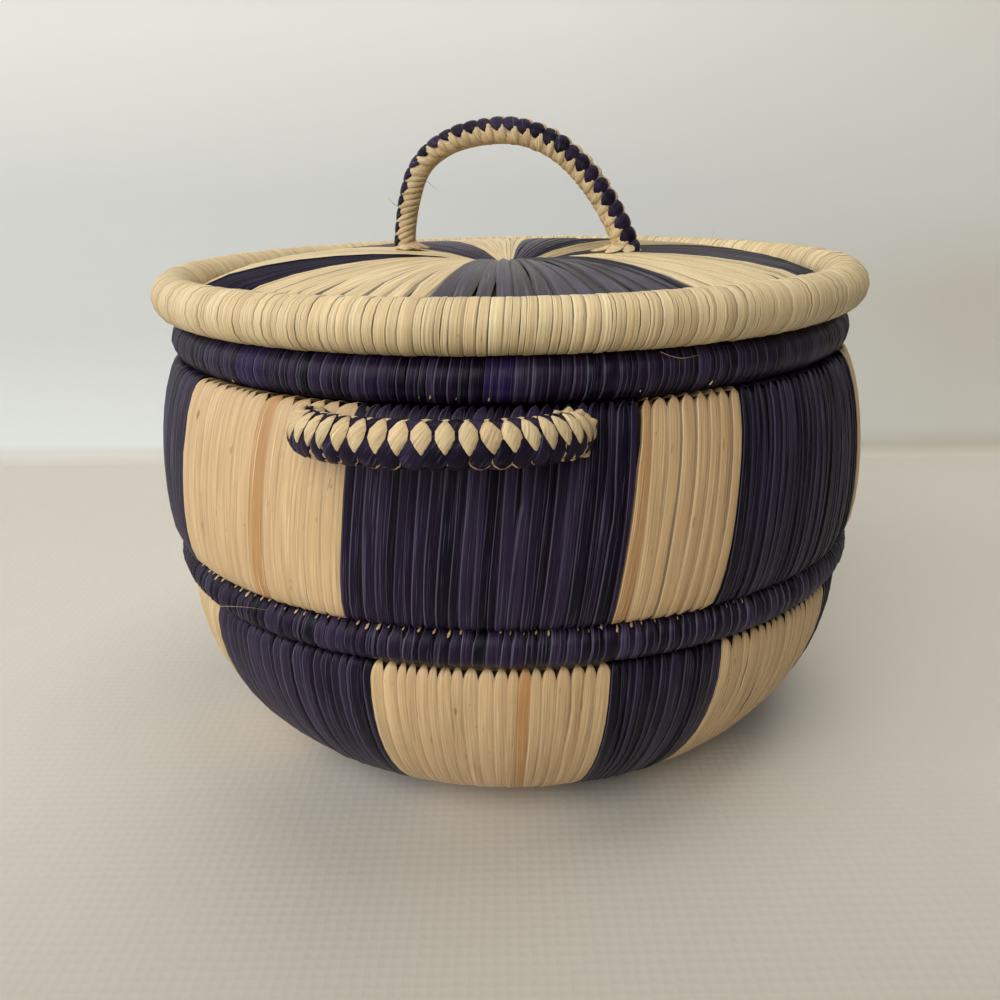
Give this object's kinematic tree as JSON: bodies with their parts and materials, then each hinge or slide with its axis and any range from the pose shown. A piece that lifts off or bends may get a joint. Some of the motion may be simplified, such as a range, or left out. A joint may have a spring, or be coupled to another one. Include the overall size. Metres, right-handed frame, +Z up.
{
  "type": "lidded woven basket",
  "caption": "Round basket of wrapped grass coils in natural and purple checks, with a lift-off lid, a braided lid handle and braided side handles.",
  "frame": {"origin": "middle of the base's flat underside, on the surface that the basket stands on", "axes": "+Z up along the basket's axis, -Y towards the front handle and +Y towards the back one, +X to the right seen from the front"},
  "size_m": [0.2844, 0.328, 0.246],
  "materials": {
    "natural_strips": "satin, undyed palm strips",
    "purple_strips": "satin, palm strips dyed dark purple",
    "two_colour_braid": "satin, natural and dark purple strips braided",
    "grass_core": "matt, bundled grass"
  },
  "bodies": {
    "basket": {"base_core": "grass_core", "base_wrap": "natural_strips", "base_knot": "natural_strips", "lower_wall_core": "grass_core", "lower_wall_wrap_01": "purple_strips", "lower_wall_wrap_02": "natural_strips", "lower_wall_wrap_03": "purple_strips", "lower_wall_wrap_04": "natural_strips", "lower_wall_wrap_05": "purple_strips", "lower_wall_wrap_06": "natural_strips", "lower_wall_wrap_07": "purple_strips", "lower_wall_wrap_08": "natural_strips", "lower_wall_wrap_09": "purple_strips", "lower_wall_wrap_10": "natural_strips", "lower_wall_wrap_11": "purple_strips", "lower_wall_wrap_12": "natural_strips", "mid_coil_core": "grass_core", "mid_coil_wrap": "purple_strips", "upper_wall_core": "grass_core", "upper_wall_wrap_01": "natural_strips", "upper_wall_wrap_02": "purple_strips", "upper_wall_wrap_03": "natural_strips", "upper_wall_wrap_04": "purple_strips", "upper_wall_wrap_05": "natural_strips", "upper_wall_wrap_06": "purple_strips", "upper_wall_wrap_07": "natural_strips", "upper_wall_wrap_08": "purple_strips", "upper_wall_wrap_09": "natural_strips", "upper_wall_wrap_10": "purple_strips", "upper_wall_wrap_11": "natural_strips", "upper_wall_wrap_12": "purple_strips", "rim_coil_core": "grass_core", "rim_coil_wrap": "purple_strips", "front_handle_core": "grass_core", "front_handle_braid": "two_colour_braid", "front_handle_lashing_left": "natural_strips", "front_handle_lashing_right": "natural_strips", "back_handle_core": "grass_core", "back_handle_braid": "two_colour_braid", "back_handle_lashing_left": "natural_strips", "back_handle_lashing_right": "natural_strips"},
    "lid": {"lid_disc_core": "grass_core", "lid_petal_01": "purple_strips", "lid_petal_02": "natural_strips", "lid_petal_03": "purple_strips", "lid_petal_04": "natural_strips", "lid_petal_05": "purple_strips", "lid_petal_06": "natural_strips", "lid_petal_07": "purple_strips", "lid_petal_08": "natural_strips", "lid_petal_09": "purple_strips", "lid_petal_10": "natural_strips", "lid_knot": "natural_strips", "lid_rim_core": "grass_core", "lid_rim_wrap": "natural_strips", "lid_locating_coil": "natural_strips", "lid_handle_core": "grass_core", "lid_handle_braid": "two_colour_braid", "lid_handle_lashing_left": "natural_strips", "lid_handle_lashing_right": "natural_strips"}
  },
  "joints": [
    {"name": "lid_lift", "type": "slide", "parent": "basket", "child": "lid", "axis": [0, 0, 1], "range_m": [0, 0.08]}
  ]
}
